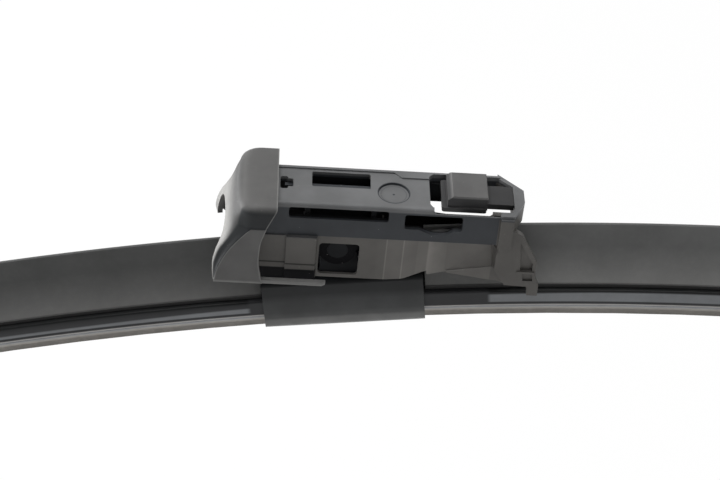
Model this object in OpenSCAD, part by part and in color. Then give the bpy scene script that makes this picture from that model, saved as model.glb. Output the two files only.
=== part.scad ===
// Flat windscreen wiper blade with a push-button arm adapter.
// Frame: +X along the blade towards the button, +Y away from the near side, +Z away from the glass.
// The origin is the centre of the pivot pin. Lengths are in millimetres.

/* [Blade] */
// Length of the blade, measured along its bow
blade_len = 500; // [380:5:650]
// Radius of the unloaded bow
bow_r = 720; // [600:10:1200]

/* [Carrier profile] */
// Width of the stiff carrier profile
carrier_w = 10.9; // [10:0.1:13]
// Height of the carrier profile below its top ledge
carrier_h = 4.7; // [4.5:0.1:6]
// Width of the tee rail that the spoilers grip
tee_w = 4.4; // [3.6:0.1:5]
// Height of the tee rail above the ledge
tee_h = 1.8; // [1.4:0.1:2.4]

/* [Spring rails] */
// Width of each flat spring rail
rail_w = 3.3; // [2.4:0.1:3.5]
// Thickness of each flat spring rail
rail_t = 0.9; // [0.6:0.05:1]

/* [Wiper rubber] */
// Reach of the lip below the carrier profile
lip_reach = 7.1; // [6.6:0.1:10]
// Width of the wiping wedge at its shoulders
wedge_w = 5.4; // [4:0.1:5.8]
// Thickness of the wiping lip
lip_t = 0.9; // [0.6:0.05:1.2]

/* [Spoilers] */
// Height of the spoiler ridge above the ledge
spoiler_h = 14.4; // [12:0.1:15]
// Height of the crease along the near face
crease_h = 10.7; // [8:0.1:11.5]
// Width of the spoiler where it sits on the carrier
spoiler_w = 8.4; // [7.5:0.1:9.4]
// Hollow of the near face below the crease
face_hollow = 0.9; // [0.3:0.1:1.4]

/* [End caps] */
// Length of blade that each end cap covers
cap_len = 16; // [10:0.5:24]
// Wall thickness of the end caps
cap_wall = 1.1; // [0.8:0.1:1.6]

/* [Clamp] */
// Length of the steel clamp
clamp_len = 38.2; // [34:0.2:40]
// Thickness of the clamp sheet
clamp_sheet = 0.7; // [0.6:0.05:0.9]
// Height of the clamp above the ledge
clamp_rise = 5.9; // [4.6:0.1:6]
// Depth of the clamp below the carrier profile
clamp_drop = 3.8; // [2.8:0.1:4]

/* [Pivot] */
// Height of the pin axis above the ledge
pivot_h = 15; // [14.8:0.1:17]
// Diameter of the pivot pin
pin_d = 4.8; // [4:0.1:5.2]
// Thickness of the bracket sheet
bracket_sheet = 0.8; // [0.6:0.05:1]
// Clear width between the bracket ears
ear_gap = 6.2; // [5:0.1:6.6]

/* [Adapter body] */
// Nose-down tilt of the adapter against the blade
adapter_tilt = 8; // [6:0.5:8]
// Height of the adapter's top face above the pin
body_top = 14.6; // [14:0.1:15.5]
// Wall thickness of the adapter's lower sides
side_wall = 1; // [0.9:0.05:1.3]
// Distance from the pin to the front of the nose
nose_reach = 42.2; // [41:0.1:44]
// Thickness of the top plate
plate_t = 1.4; // [1:0.1:1.8]
// Depth of the recess between the two edge rails
plate_sink = 0.35; // [0.2:0.05:0.6]

/* [Release button] */
// Length of the button head
button_len = 9.2; // [8:0.1:10]
// Width of the button head
button_w = 9.2; // [8:0.1:10]
// Height of the button head above the adapter's top face
button_rise = 2.25; // [1.5:0.05:3]
// Width of the springy tongue that carries the button
tongue_w = 6.6; // [5:0.1:7.5]
// Thickness of the tongue
tongue_t = 1.5; // [1.2:0.1:1.8]

/* [End hood] */
// Width over the skirts of the end hood
hood_w = 24.4; // [22:0.1:25]
// Height of the hood's top above the adapter's top face
hood_rise = 1.6; // [1.6:0.1:3]
// Wall thickness of the hood
hood_wall = 1.3; // [1:0.1:1.4]

/* [Hidden] */

// Clearances
slide_gap = 0.12;
press_gap = 0.02;
bearing_gap = 0.05;
swing_gap = 0.35;
hinge_gap = 0.1;
eps = 0.01;

// Fineness of round shapes and of the long bow
$fn = 48;
bow_fn = 720;
corner_fn = 16;

// Widths that stack up from the carrier outwards
clamp_fit = 0.1;
clamp_in = carrier_w / 2 + clamp_fit;
clamp_out = clamp_in + clamp_sheet;
body_in = clamp_out + swing_gap;
body_out = body_in + side_wall;
clamp_shift = 0.3;
clamp_sag = pow(clamp_len / 2 + clamp_shift, 2) / (2 * bow_r);

// Cross-section of the carrier, from the ledge down
carrier_edge = 0.5;
roof_t = 0.9;
slot_t = rail_t + 2 * slide_gap;
slot_w = rail_w + 2 * slide_gap;
slot_inset = 0.8;
head_w = 3.8;
head_h = 1.1;
lips_t = 0.8;
neck_w = 1.3;
tee_neck = tee_w - 1.6;
tee_head_h = tee_h * 0.55;

// Cross-section of the wiper rubber, from the carrier down
shoulder_w = 5.6;
shoulder_h = 1.0;
hinge_w = 1.2;
hinge_h = 0.8;
lip_h = 1.5;

// Spoiler section
foot_h = 1;
crease_y = 1;
ridge_y = 1.9;
ridge_w = 1;

// Clamp hem below the carrier
hem_r = 1.4;
hem_bottom = -carrier_h - clamp_drop;
tab_len = 5;
tab_x = 12;

// Pivot bracket
pin_r = pin_d / 2;
ear_r = pin_r + 1.3;
ear_out = ear_gap / 2 + bracket_sheet;
bracket_len = 16;
rivet_x = 6;
rivet_d = 2.4;
cheek_gap = 0.5;
cheek_t = 1.3;
cheek_in = ear_out + cheek_gap;
cheek_out = cheek_in + cheek_t;
boss_r = pin_r + 1.9;

// Lengths along the adapter, measured from the pin
body_back = -20;
block_x0 = -12.1;
block_x1 = -5.2;
window_x0 = -4.4;
window_x1 = 4.9;
facet_x = [11, 15, 25.5, nose_reach - 5.9];
opening_x = nose_reach - 21.9;
bar_x0 = nose_reach - 5.7;
bar_x1 = nose_reach - 2.6;
hinge_x = nose_reach - 2.5;

// Heights in the adapter, measured from the pin
wall_low = -6.7;
waist_low = -6.7;
clamp_clear = -5.4;
waist_near = 3.8;
waist_far = 5.6;
far_top = 3.2;
foot_y = clamp_in + 0.3;
split_z = 6;
wall_lean = 0.4;
rail_round = 0.9;
plate_low = body_top - plate_sink - plate_t;

// Turns a drawing of [y, z] into a length of bowed profile
module bowed(from, to) {
    deg_per_mm = 180 / (PI * bow_r);
    translate([0, 0, -pivot_h - bow_r])
        rotate([90, 0, 0])
            rotate_extrude(angle = (to - from) * deg_per_mm, start = 90 - to * deg_per_mm, $fn = bow_fn)
                translate([bow_r, 0])
                    rotate(-90)
                        children();
}

// Extrudes a drawing of [x, z] from y0 to y1
module across(y0, y1) {
    translate([0, y1, 0])
        rotate([90, 0, 0])
            linear_extrude(y1 - y0)
                children();
}

// Extrudes a drawing of [y, z] from x0 to x1
module along(x0, x1) {
    translate([x0, 0, 0])
        rotate([90, 0, 90])
            linear_extrude(x1 - x0)
                children();
}

// Extrudes a drawing of [x, y] from z0 to z1
module upright(z0, z1) {
    translate([0, 0, z0])
        linear_extrude(z1 - z0)
            children();
}

module in_adapter() {
    rotate([0, adapter_tilt, 0])
        children();
}

module mirror_copy() {
    children();
    mirror([0, 1, 0])
        children();
}

module span(x0, x1, y0, y1) {
    translate([x0, y0])
        square([x1 - x0, y1 - y0]);
}

module round_span(x0, x1, y0, y1, r) {
    offset(r, $fn = corner_fn)
        span(x0 + r, x1 - r, y0 + r, y1 - r);
}

// Points on a shallow arc from a to b, hollowed by sag to the right of the way from a to b
function arc_pts(a, b, sag, n) = [
    for (i = [0:n])
        let (t = i / n, d = b - a, s = 4 * sag * t * (1 - t) / norm(d))
            a + d * t + [d[1], -d[0]] * s
];

function corner_pts(c, r, a0, a1, n) = [
    for (i = [0:n])
        c + r * [cos(a0 + (a1 - a0) * i / n), sin(a0 + (a1 - a0) * i / n)]
];

// Carrier profile, drawn as [y, z] with the ledge at z = 0
module tee_outline(gap) {
    span(-tee_neck / 2 - gap, tee_neck / 2 + gap, -eps, tee_h - tee_head_h + eps);
    span(-tee_w / 2 - gap, tee_w / 2 + gap, tee_h - tee_head_h - gap, tee_h + gap);
}

module carrier_outline() {
    round_span(-carrier_w / 2, carrier_w / 2, -carrier_h, 0, carrier_edge);
}

module carrier_section() {
    head_top = -carrier_h + lips_t + head_h + 2 * slide_gap;
    difference() {
        union() {
            carrier_outline();
            tee_outline(0);
        }
        for (side = [-1, 1])
            scale([side, 1])
                span(slot_inset, slot_inset + slot_w, -roof_t - slot_t, -roof_t);
        span(-head_w / 2 - slide_gap, head_w / 2 + slide_gap, -carrier_h + lips_t, head_top);
        span(-neck_w / 2 - slide_gap, neck_w / 2 + slide_gap, -carrier_h - eps, -carrier_h + lips_t + eps);
    }
}

module carrier_profile() {
    color([0.10, 0.09, 0.11])
        bowed(-blade_len / 2 + cap_wall + slide_gap, blade_len / 2 - cap_wall - slide_gap)
            carrier_section();
}

module spring_rail(side) {
    rail_end = blade_len / 2 - cap_wall - 3;
    low = slide_gap + slot_inset;
    color([0.45, 0.46, 0.48])
        bowed(-rail_end, rail_end)
            scale([side, 1])
                span(low, low + rail_w, -roof_t - slide_gap - rail_t, -roof_t - slide_gap);
}

module spring_rail_near() {
    spring_rail(-1);
}

module spring_rail_far() {
    spring_rail(1);
}

module rubber_section() {
    head_low = -carrier_h + lips_t + slide_gap;
    shoulder_top = -carrier_h - slide_gap - 0.1;
    hinge_top = shoulder_top - shoulder_h;
    wedge_top = hinge_top - hinge_h;
    tip = -carrier_h - lip_reach;
    lip_top = tip + lip_h;
    half = [
        [head_w / 2, head_low + head_h], [head_w / 2, head_low], [neck_w / 2, head_low],
        [neck_w / 2, shoulder_top], [shoulder_w / 2 - 0.5, shoulder_top],
        [shoulder_w / 2, shoulder_top - 0.3], [shoulder_w / 2 - 0.3, hinge_top],
        [hinge_w / 2, hinge_top], [hinge_w / 2, wedge_top], [wedge_w / 2, wedge_top],
        [wedge_w / 2, wedge_top - 0.5], [lip_t / 2 + 0.35, lip_top + 0.5],
        [lip_t / 2, lip_top], [lip_t / 2, tip]
    ];
    polygon(concat(half, [for (i = [len(half) - 1:-1:0]) [-half[i][0], half[i][1]]]));
}

module wiper_rubber() {
    color([0.16, 0.15, 0.14])
        bowed(-blade_len / 2 + cap_wall + slide_gap, blade_len / 2 - cap_wall - slide_gap)
            rubber_section();
}

// Spoiler section: a hollowed near face, a crease, a thin ridge and a plain far face
module spoiler_outline() {
    near = [-spoiler_w / 2, slide_gap];
    polygon(concat(
        [near, near + [0.1, foot_h - slide_gap]],
        arc_pts([-spoiler_w / 2 + 0.3, foot_h], [crease_y, crease_h], face_hollow, 8),
        [[ridge_y, spoiler_h - 0.35], [ridge_y + 0.35, spoiler_h],
         [ridge_y + ridge_w - 0.3, spoiler_h], [ridge_y + ridge_w, spoiler_h - 0.4]],
        arc_pts([ridge_y + ridge_w + 0.3, crease_h], [spoiler_w / 2, foot_h], -0.4, 4),
        [[spoiler_w / 2, slide_gap]]
    ));
}

module spoiler_section() {
    difference() {
        spoiler_outline();
        tee_outline(slide_gap);
    }
}

spoiler_gap = 0.4;

module spoiler(from, to) {
    color([0.20, 0.20, 0.20])
        bowed(from, to)
            spoiler_section();
}

module spoiler_left() {
    spoiler(-blade_len / 2 + cap_wall + slide_gap, clamp_shift - clamp_len / 2 - spoiler_gap);
}

module spoiler_right() {
    spoiler(clamp_shift + clamp_len / 2 + spoiler_gap, blade_len / 2 - cap_wall - slide_gap);
}

// End cap: a pocket round the spoiler and the carrier, open below for the rubber
module blade_outline(gap) {
    offset(delta = gap)
        union() {
            spoiler_outline();
            span(-carrier_w / 2, carrier_w / 2, -carrier_h, slide_gap + eps);
        }
}

module end_cap(side) {
    mouth = shoulder_w / 2 + 0.2;
    color([0.12, 0.12, 0.12])
        scale([side, 1, 1])
            difference() {
                bowed(blade_len / 2 - cap_len, blade_len / 2)
                    blade_outline(cap_wall + slide_gap);
                bowed(blade_len / 2 - cap_len - 1, blade_len / 2 - cap_wall)
                    blade_outline(slide_gap);
                bowed(blade_len / 2 - cap_len - 1, blade_len / 2 - cap_wall)
                    span(-mouth, mouth, -carrier_h - lip_reach, -carrier_h);
            }
}

module end_cap_left() {
    end_cap(-1);
}

module end_cap_right() {
    end_cap(1);
}

// Clamp: sheet walls, a web on top and hems that grip under the carrier
module clamp_half() {
    hem = [clamp_out - hem_r, hem_bottom + hem_r];
    lip_top = -carrier_h - clamp_sag - 0.08;
    span(clamp_in, clamp_out, hem[1], clamp_rise - 1);
    difference() {
        translate(hem)
            circle(hem_r);
        translate(hem)
            circle(hem_r - clamp_sheet);
        span(0, clamp_out + 1, hem[1], 0);
    }
    span(hem[0] - hem_r, hem[0] - hem_r + clamp_sheet, hem[1] - eps, lip_top);
}

module clamp_section() {
    for (side = [-1, 1])
        scale([side, 1])
            clamp_half();
    difference() {
        round_span(-clamp_out, clamp_out, clamp_rise - 4, clamp_rise, 1.2);
        span(-clamp_in, clamp_in, clamp_rise - 5, clamp_rise - clamp_sheet);
        span(-clamp_out - 1, clamp_out + 1, clamp_rise - 5, clamp_rise - 1.2);
    }
}

module blade_clamp() {
    color([0.17, 0.18, 0.18])
        translate([clamp_shift, 0, -pivot_h])
            difference() {
                union() {
                    along(-clamp_len / 2, clamp_len / 2)
                        clamp_section();
                    for (side = [-1, 1], x = [-tab_x, tab_x])
                        translate([x - tab_len / 2, side > 0 ? clamp_in - 1 : -clamp_in - eps, slide_gap])
                            cube([tab_len, 1 + eps, clamp_sheet]);
                }
                for (x = [-rivet_x, rivet_x])
                    translate([x - clamp_shift, 0, clamp_rise - clamp_sheet - 1])
                        cylinder(d = rivet_d + 2 * press_gap, h = clamp_sheet + 2);
            }
}

// Pivot bracket: a base plate on the clamp web and two upright ears
module ear_outline() {
    base_z = clamp_rise + press_gap - pivot_h;
    circle(ear_r);
    polygon([[-ear_r - 1.2, base_z + bracket_sheet / 2], [ear_r + 1.2, base_z + bracket_sheet / 2],
             [ear_r, 0], [-ear_r, 0]]);
}

module pivot_bracket() {
    base_z = clamp_rise + press_gap - pivot_h;
    color([0.52, 0.53, 0.54])
        difference() {
            union() {
                translate([-bracket_len / 2, -ear_out, base_z])
                    cube([bracket_len, 2 * ear_out, bracket_sheet]);
                for (y = [-ear_out, ear_gap / 2])
                    across(y, y + bracket_sheet)
                        ear_outline();
            }
            rotate([90, 0, 0])
                cylinder(r = pin_r + press_gap, h = 4 * ear_out, center = true);
            for (x = [-rivet_x, rivet_x])
                translate([x, 0, base_z - 1])
                    cylinder(d = rivet_d + 2 * press_gap, h = bracket_sheet + 2);
        }
}

module bracket_rivet(x) {
    low = clamp_rise - clamp_sheet - press_gap - pivot_h;
    high = clamp_rise + press_gap + bracket_sheet + press_gap - pivot_h;
    head_t = 0.7;
    color([0.60, 0.60, 0.62])
        translate([x, 0, 0])
            union() {
                translate([0, 0, low - eps])
                    cylinder(d = rivet_d, h = high - low + 2 * eps);
                translate([0, 0, low - head_t])
                    cylinder(d = rivet_d + 1.6, h = head_t);
                translate([0, 0, high])
                    cylinder(d1 = rivet_d + 1.8, d2 = rivet_d + 0.8, h = head_t);
            }
}

module bracket_rivet_left() {
    bracket_rivet(-rivet_x);
}

module bracket_rivet_right() {
    bracket_rivet(rivet_x);
}

module pivot_pin() {
    color([0.62, 0.63, 0.65])
        rotate([90, 0, 0])
            cylinder(r = pin_r, h = 2 * cheek_out, center = true);
}

// Adapter body: an upside-down channel with leaning upper walls
module shell_outline(lean_y, top_y, top_z, r) {
    polygon(concat(
        [[-lean_y, split_z]],
        r > 0 ? corner_pts([-top_y + r, top_z - r], r, 180, 90, 4) : [[-top_y, top_z]],
        r > 0 ? corner_pts([top_y - r, top_z - r], r, 90, 0, 4) : [[top_y, top_z]],
        [[lean_y, split_z]]
    ));
}

module upper_shell() {
    difference() {
        along(body_back, bar_x0 + 0.5)
            shell_outline(body_out + wall_lean, body_out - wall_lean, body_top, rail_round);
        along(body_back - 1, bar_x0 + 1)
            shell_outline(body_in, body_in - 2 * wall_lean, plate_low, 0);
        // Recess between the edge rails, stepped in beside the opening
        upright(body_top - plate_sink, body_top + 1)
            polygon([[body_back - 1, -body_out + 1.7], [opening_x + 1, -body_out + 1.7],
                     [opening_x + 1, body_out - 3.4], [14, body_out - 3.4], [12.4, body_out - 1.7],
                     [body_back - 1, body_out - 1.7]]);
        // The near rail steps down beside the button
        upright(body_top - 1.05, body_top + 1)
            span(opening_x + 0.8, bar_x0 + 2, -body_out - 2, -body_out + 3);
        top_holes();
    }
}

module top_holes() {
    // Small stepped hole
    upright(plate_low - 1, body_top + 1) {
        round_span(-14.1, -12.3, -1.4, 2.9, 0.5);
        round_span(-12.7, -11.1, -0.6, 2.2, 0.3);
    }
    // Long rectangular window
    upright(plate_low - 4, body_top + 1)
        round_span(-6.8, 6.75, -0.1, body_out - 2.45, 0.3);
    // Shallow dish left by the moulding gate
    translate([12, -1.1, body_top - plate_sink - 0.5])
        cylinder(r = 3.6, h = 2);
    // Opening round the button
    upright(plate_low - 1, body_top + 1)
        polygon([[opening_x, -body_out + 3.2], [opening_x + 1.4, -body_out + 0.7],
                 [bar_x0 + 2, -body_out + 0.7], [bar_x0 + 2, body_out - 1.6],
                 [opening_x + 1, body_out - 1.6], [opening_x, body_out - 2.6]]);
}

// Slots in an upper wall
module slot_one() {
    round_span(-11.9, 10.9, 10.7, 13.6, 0.6);
}

module slot_two() {
    round_span(14.6, 27.9, 9.1, 13, 0.6);
    polygon([[17.5, 9.3], [20.3, 8.1], [21.5, 7.8], [23.5, 7.8], [24.7, 8.1], [26.2, 9.3]]);
}

// Lower side wall from the hood to the waist, drawn for the near side
module lower_wall(waist, top) {
    wall = side_wall;
    out = body_out;
    upright(wall_low, split_z)
        polygon([[body_back, -out - 0.7], [block_x0, -out - 0.7], [block_x0, -out - 1.3],
                 [block_x1, -out - 1.3], [block_x1 + 0.5, -out], [facet_x[0], -out],
                 [facet_x[0], -out + wall], [body_back, -out + wall]]);
    difference() {
        upright(waist_low, split_z)
            polygon([[facet_x[0] - eps, -out], [facet_x[1], -out + 0.5], [facet_x[2], -waist],
                     [facet_x[3], -waist], [facet_x[3], -waist + wall],
                     [facet_x[2] - 0.3, -waist + wall], [facet_x[1] - 0.2, -out + 0.5 + wall],
                     [facet_x[0] - eps, -out + wall]]);
        // The lower edge rises over the clamp's end and again towards the nose
        across(-20, 20)
            polygon([[facet_x[1] - 3, waist_low - 1], [facet_x[1] + 6.2, clamp_clear], [facet_x[1] + 6.6, waist_low - 1]]);
        across(-20, 20)
            polygon([[facet_x[2] + 0.5, waist_low - 1], [facet_x[2] + 0.5, waist_low], [facet_x[3] + 1, -2.6],
                     [facet_x[3] + 1, waist_low - 1]]);
        across(-20, 20)
            span(opening_x, facet_x[3] + 1, top, split_z + 1);
    }
}

// Square window, grooves of the recess and the slanted foot of the block
module lower_cuts(y0, y1) {
    across(y0, y1)
        round_span(window_x0, window_x1, -5.7, 3.6, 0.9);
}

module cheek() {
    arm_x = 7.2;
    across(-cheek_out, -cheek_in)
        difference() {
            union() {
                circle(boss_r);
                polygon([[-boss_r, 0], [boss_r, 0], [arm_x, 4.5], [arm_x, plate_low - 4],
                         [-arm_x, plate_low - 4], [-arm_x, 4.5]]);
            }
        }
}

// Inner walls that close the long slots and the rectangular window to blind pockets
module pocket_walls() {
    low = plate_low - 4.4;
    mirror_copy()
        along(-13, 12.2)
            span(-2.2, -1.2, low, plate_low + 0.2);
    upright(low, low + 0.9)
        span(-7.6, 7.6, -body_in + 0.1, body_in - 0.1);
}

module bulkheads() {
    for (x = [-8.2, 7])
        along(x, x + 1.2)
            polygon([[-body_in - 0.3, 3.5], [-body_in + 0.2, plate_low + 0.5],
                     [body_in - 0.2, plate_low + 0.5], [body_in + 0.3, 3.5]]);
}

// Nose: two rails that close to a blunt point, with posts below on the near side
module nose_outline(inset) {
    tip_y = 2.1;
    polygon([[bar_x0 - eps, -body_out + inset], [bar_x1 - inset * 0.4, -body_out + inset],
             [nose_reach - inset, -tip_y - inset * 0.1], [nose_reach - inset, tip_y + inset * 0.1],
             [bar_x0 - eps, body_out - inset]]);
}

module nose() {
    depth = 5.8;
    difference() {
        upright(body_top - depth, body_top - 0.3)
            nose_outline(0);
        upright(body_top - depth - 1, body_top + 1)
            nose_outline(1.5);
    }
    // Bridge behind the tip that the tongue springs from
    upright(body_top - depth, body_top - 0.3)
        intersection() {
            nose_outline(0);
            span(hinge_x, nose_reach + 1, -body_out, body_out);
        }
}

// Upright bar at the end of the near wall, with a small step below it
module near_bar() {
    across(-body_out - 0.5, -body_out + 1.5)
        span(bar_x0, bar_x1, 4.8, body_top - 1.05);
    across(-body_out, -body_out + 1.5)
        span(bar_x0 + 0.5, bar_x1 - 0.4, 2.9, 5);
}

// Below the nose: a flared gusset and a guide cheek with its foot, on both sides

module slab(a, b) {
    // Two quadrilaterals with matching corners, closed to a solid
    polyhedron(
        points = concat(a, b),
        faces = [[2, 1, 0], [3, 2, 0], [4, 5, 6], [4, 6, 7],
                 [4, 0, 1], [1, 5, 4], [5, 1, 2], [2, 6, 5],
                 [6, 2, 3], [3, 7, 6], [7, 3, 0], [0, 4, 7]]
    );
}

module fold(a, b) {
    // Two triangles with matching corners, closed to a solid
    polyhedron(
        points = concat(a, b),
        faces = [[2, 1, 0], [3, 4, 5], [3, 0, 1], [1, 4, 3],
                 [4, 1, 2], [2, 5, 4], [5, 2, 0], [0, 3, 5]]
    );
}

module gusset(waist) {
    x0 = facet_x[2] + 0.3;
    x1 = nose_reach - 2.4;
    // Panel that leans out to the crease
    fold(
        [[x0, -waist - 0.02, waist_low + 0.25], [x1, -6.1, -1.7], [facet_x[3] + 0.3, -waist + 0.1, far_top - 0.3]],
        [[x0, -waist + 0.8, waist_low + 0.25], [x1, -5, -1.7], [facet_x[3] + 0.3, -waist + 0.8, far_top - 0.3]]
    );
    // Triangular flare from the crease down to the guide cheek
    slab(
        [[x0 + 0.1, -waist - 0.1, waist_low + 0.5], [x1 + 0.1, -6.2, -1.5], [x1 + 0.1, -5, -1.5],
         [x0 + 0.1, -waist + 0.6, waist_low + 0.5]],
        [[x0 + 0.2, -waist - 0.05, -6.9], [x1 + 0.5, -6.25, -6.95], [x1 + 0.5, -5.1, -6.95],
         [x0 + 0.2, -waist + 0.55, -6.9]]
    );
    // Web that joins the waist wall to the guide cheek
    upright(-2.4, far_top - 0.1)
        polygon([[bar_x0 - 0.8, -waist + 0.1], [bar_x0 + 0.3, -waist + 0.1], [bar_x0 + 1.4, -foot_y - 0.7],
                 [bar_x0 + 0.3, -foot_y - 0.7]]);
}

module guide_cheek(top, tip_fall) {
    y0 = -foot_y - 1.3;
    y1 = -foot_y;
    tip = nose_reach + 4.3;
    difference() {
        across(y0, y1)
            intersection() {
                polygon([[bar_x0 + 0.2, 6], [bar_x0 + 1.5, 9.4], [bar_x1 + 1, 9.4], [nose_reach, 8.2], [tip, 0.2],
                         [tip, -4], [tip + 1.2, -6.6], [tip + 1.3, -9.9], [tip - 1.2, -9.9], [tip - 1.5, -7.2],
                         [bar_x1, -7], [bar_x0 + 0.2, -2.4]]);
                polygon([[bar_x0 - 1, -20], [bar_x0 - 1, top], [bar_x1 - 0.5, top], [tip + 5, top - tip_fall],
                         [tip + 5, -20]]);
            }
        // Shallow pocket behind the sloping edge
        across(y0 - 1, y0 + 0.7)
            polygon([[nose_reach - 0.3, 6.2], [nose_reach + 0.6, -2.2], [tip - 0.9, -2.2], [tip - 0.9, -0.1]]);
        across(y0 - 1, y0 + 0.5)
            polygon([[nose_reach + 1.2, -3.2], [tip - 0.8, -3.2], [tip - 0.4, -5.4], [nose_reach + 1.6, -5.4]]);
    }
    // Small fin
    across(y0 - 0.3, y0 + 1)
        span(nose_reach - 0.1, tip - 0.3, -3, -2.4);
}

module adapter_body() {
    color([0.22, 0.23, 0.24])
        in_adapter()
            difference() {
                union() {
                    upper_shell();
                    lower_wall(waist_near, split_z + 0.5);
                    gusset(waist_near);
                    guide_cheek(10, 0);
                    near_bar();
                    mirror([0, 1, 0]) {
                        lower_wall(waist_far, far_top);
                        gusset(waist_far);
                        guide_cheek(far_top, 8.5);
                    }
                    mirror_copy()
                        cheek();
                    bulkheads();
                    pocket_walls();
                    nose();
                }
                across(-body_out - 3, -body_in + 1.2) {
                    slot_one();
                    slot_two();
                }
                lower_cuts(-body_out - 3, -body_in + 0.5);
                lower_cuts(body_in - 0.5, body_out + 3);
                rotate([90, 0, 0])
                    cylinder(r = pin_r + bearing_gap, h = 4 * body_out, center = true);
            }
}

// Release button on its tongue
module release_button() {
    x0 = nose_reach - 18;
    x1 = x0 + button_len;
    top = body_top + button_rise;
    low = body_top - 1.3;
    half = button_w / 2;
    color([0.24, 0.24, 0.24])
        in_adapter()
            union() {
                intersection() {
                    across(-half, half)
                        polygon([[x0, low], [x0, top - 0.95], [x0 + 1.1, top], [x1 - 0.2, top],
                                 [x1, top - 0.25], [x1, low]]);
                    along(x0 - 1, x1 + 1)
                        polygon([[-half, low - 1], [-half, top - 0.3], [-half + 0.3, top + 0.01],
                                 [half - 0.3, top + 0.01], [half, top - 0.3], [half, low - 1]]);
                }
                upright(low - 0.6, low + 0.6)
                    round_span(x0 - 1.2, x1 - 0.1, -half - 0.4, half + 0.4, 0.6);
                upright(low - 0.6, low - 0.6 + tongue_t)
                    span(x1 - 1, hinge_x - hinge_gap, -tongue_w / 2, tongue_w / 2);
            }
}

// End hood
hood_top = body_top + hood_rise;
hood_half = hood_w / 2;
hood_low = -5.8;

// Each row: height, half width of the side, rear end of the side, rear corner x, rear corner y, rear middle x
function hood_rows() = [
    [hood_low, hood_half, -28.4, -28.6, hood_half - 1.3, -27.6],
    [-2.5, hood_half, -27.9, -28.3, hood_half - 1.4, -27.3],
    [0.4, hood_half, -27.0, -27.6, hood_half - 1.5, -26.8],
    [2.8, hood_half - 0.1, -25.9, -26.9, hood_half - 1.8, -26.4],
    [5, hood_half - 0.25, -24.7, -26.0, hood_half - 2.1, -25.8],
    [7.6, hood_half - 0.4, -23.0, -25.1, hood_half - 2.4, -25.1],
    [9.9, hood_half - 0.4, -21.4, -24.2, hood_half - 2.5, -24.5],
    [12, hood_half - 0.4, -21.1, -23.6, hood_half - 2.5, -23.9],
    [14.2, hood_half - 0.45, -20.9, -23.0, hood_half - 2.6, -23.3]
];

function hood_ring(row, inset, front) =
    let (z = row[0], w = row[1] - inset, xs = row[2] + inset * 0.6,
         xc = row[3] + inset, yc = row[4] - inset * 0.8, xm = row[5] + inset)
        [[front, -w, z], [xs, -w, z], [(xs + xc) / 2 - 0.4, -(w * 0.45 + yc * 0.55), z], [xc, -yc, z],
         [(xm + xc) / 2, -yc * 0.6, z], [xm, 0, z], [(xm + xc) / 2, yc * 0.6, z],
         [xc, yc, z], [(xs + xc) / 2 - 0.4, w * 0.45 + yc * 0.55, z], [xs, w, z], [front, w, z]];

module hood_loft(inset, low, top, front) {
    rows = hood_rows();
    last = rows[len(rows) - 1];
    crown = [[top - 0.9, 0.25], [top - 0.3, 0.8], [top, 1.7]];
    rings = concat(
        [hood_ring([low, rows[0][1], rows[0][2], rows[0][3], rows[0][4], rows[0][5]], inset, front)],
        [for (i = [1:len(rows) - 1]) if (rows[i][0] < top - 0.5) hood_ring(rows[i], inset, front)],
        [for (c = crown) hood_ring([c[0], last[1] - c[1], last[2] + c[1], last[3] + c[1],
                                    last[4] - c[1], last[5] + c[1]], inset, front)]
    );
    n = len(rings[0]);
    m = len(rings);
    pts = [for (r = rings, p = r) p];
    polyhedron(
        points = pts,
        faces = concat(
            [[for (i = [n - 1:-1:0]) i]],
            [[for (i = [0:n - 1]) (m - 1) * n + i]],
            [for (j = [0:m - 2], i = [0:n - 1], k = [0, 1])
                let (a = j * n + i, b = j * n + (i + 1) % n, c = a + n, d = b + n)
                    k == 0 ? [a, b, c] : [b, d, c]]
        )
    );
}

module end_hood() {
    flange_y = body_out + 1.4;
    color([0.25, 0.25, 0.25])
        in_adapter()
            union() {
                difference() {
                    hood_loft(0, hood_low - 2, hood_top, -14.5);
                    hood_loft(hood_wall, hood_low - 3, hood_top - hood_wall - 0.2, -13);
                    upright(hood_low - 4, hood_low)
                        span(-40, 0, -20, 20);
                    // Arch over the blade
                    along(-32, -22)
                        round_span(-hood_half + 2.6, hood_half - 2.6, -12, 4.5, 2);
                    // Front edge of the sides
                    across(-20, 20)
                        polygon([[-10, 14.5], [-14.5, 14.5], [-14.8, 12.6], [-15.6, 9.8], [-16.5, 7.4],
                                 [-17.3, 5.2], [-17.8, 3], [-18, 0.5], [-17.7, -2.6], [-17.2, -4.3],
                                 [-10, -4.3]]);
                    // The far skirt ends higher at the rear
                    along(-32, -24.5)
                        span(5, 20, -12, -2.4);
                }
                mirror_copy()
                    upright(hood_low + 0.03, hood_low + 1.15)
                        span(-24, -2.5, flange_y, hood_half - 0.03);
            }
}

adapter_body();
end_hood();
release_button();
pivot_pin();
pivot_bracket();
bracket_rivet_left();
bracket_rivet_right();
blade_clamp();
carrier_profile();
spring_rail_near();
spring_rail_far();
wiper_rubber();
spoiler_left();
spoiler_right();
end_cap_left();
end_cap_right();
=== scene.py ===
"""Flat wiper blade with a push-button arm adapter: finishes, fine shapes, light and camera."""

import math

import bmesh
import bpy
from mathutils import Matrix, Vector


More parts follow.
